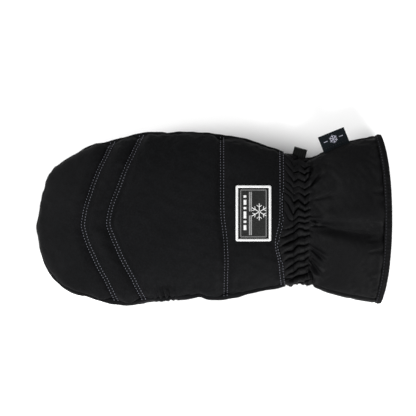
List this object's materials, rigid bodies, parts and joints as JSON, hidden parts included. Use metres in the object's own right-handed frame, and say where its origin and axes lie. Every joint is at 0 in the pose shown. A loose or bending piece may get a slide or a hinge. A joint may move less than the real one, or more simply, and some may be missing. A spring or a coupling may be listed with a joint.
{
  "type": "ski mitten",
  "caption": "Padded ski mitten with a gathered elastic wrist, a flared cuff, a folded thumb, a stitched badge and a hang loop.",
  "frame": {"origin": "on the surface that the mitten lies on, under the middle of its bounding box", "axes": "+X from the fingertips towards the cuff, +Y towards the little-finger side, +Z out of the back of the hand"},
  "size_m": [0.32, 0.159, 0.0605],
  "materials": {
    "softshell": "matte padded softshell with a fine grain",
    "cuff_fabric": "smooth woven nylon with a soft sheen",
    "palm_fabric": "matte woven nylon",
    "grip_leather": "fine-grained synthetic leather, dull",
    "padding": "loose white fibre batting",
    "insert_film": "thin translucent film",
    "fleece": "short brushed fleece",
    "elastic": "ribbed elastic tape",
    "badge_ground": "tightly woven twill",
    "badge_white": "dense embroidery thread with a low sheen",
    "badge_grey": "dense grey embroidery thread",
    "webbing": "ribbed narrow webbing",
    "label_weave": "smooth damask weave"
  },
  "bodies": {
    "hand": {"fingertip_panel": "softshell", "chevron_panel": "softshell", "back_panel": "softshell", "wrist_panel": "softshell", "palm_panel": "palm_fabric", "palm_grip_patch": "grip_leather", "back_padding": "padding", "palm_padding": "padding", "waterproof_insert": "insert_film", "hand_lining": "fleece", "thumb_collar": "palm_fabric", "badge_base": "badge_ground", "badge_edging": "badge_white", "badge_frame": "badge_grey", "badge_bars": "badge_grey", "badge_emblem": "badge_white"},
    "cuff": {"wrist_shirring": "cuff_fabric", "wrist_elastic": "elastic", "wrist_lining": "fleece", "cuff_back_panel": "cuff_fabric", "cuff_palm_panel": "cuff_fabric", "cuff_padding": "padding", "cuff_lining": "fleece", "hem_binding": "cuff_fabric"},
    "thumb": {"thumb_grip_panel": "grip_leather", "thumb_back_panel": "softshell", "thumb_padding": "padding", "thumb_insert": "insert_film", "thumb_lining": "fleece"},
    "hang_loop": {"hang_loop": "webbing"},
    "side_label": {"side_label": "label_weave"}
  },
  "joints": [
    {"name": "wrist_flex", "type": "hinge", "parent": "hand", "child": "cuff", "pos_m": [0.073, -0.004, 0.0255], "axis": [0, 1, 0], "range_deg": [-35, 25], "deforming": ["wrist_shirring", "wrist_elastic", "wrist_lining"]},
    {"name": "thumb_swing", "type": "hinge", "parent": "hand", "child": "thumb", "pos_m": [0.028, -0.042, 0.0097], "axis": [0, 0, 1], "range_deg": [0, 55]},
    {"name": "loop_flip", "type": "hinge", "parent": "cuff", "child": "hang_loop", "pos_m": [0.0756, 0.0524, 0.026], "axis": [0.9613, -0.2756, 0], "range_deg": [-20, 20], "stiffness_Nm_per_rad": 0.003},
    {"name": "label_flip", "type": "hinge", "parent": "cuff", "child": "side_label", "pos_m": [0.1096, 0.0626, 0.029], "axis": [0.9272, 0.3746, 0], "range_deg": [-18, 45], "stiffness_Nm_per_rad": 0.001}
  ]
}
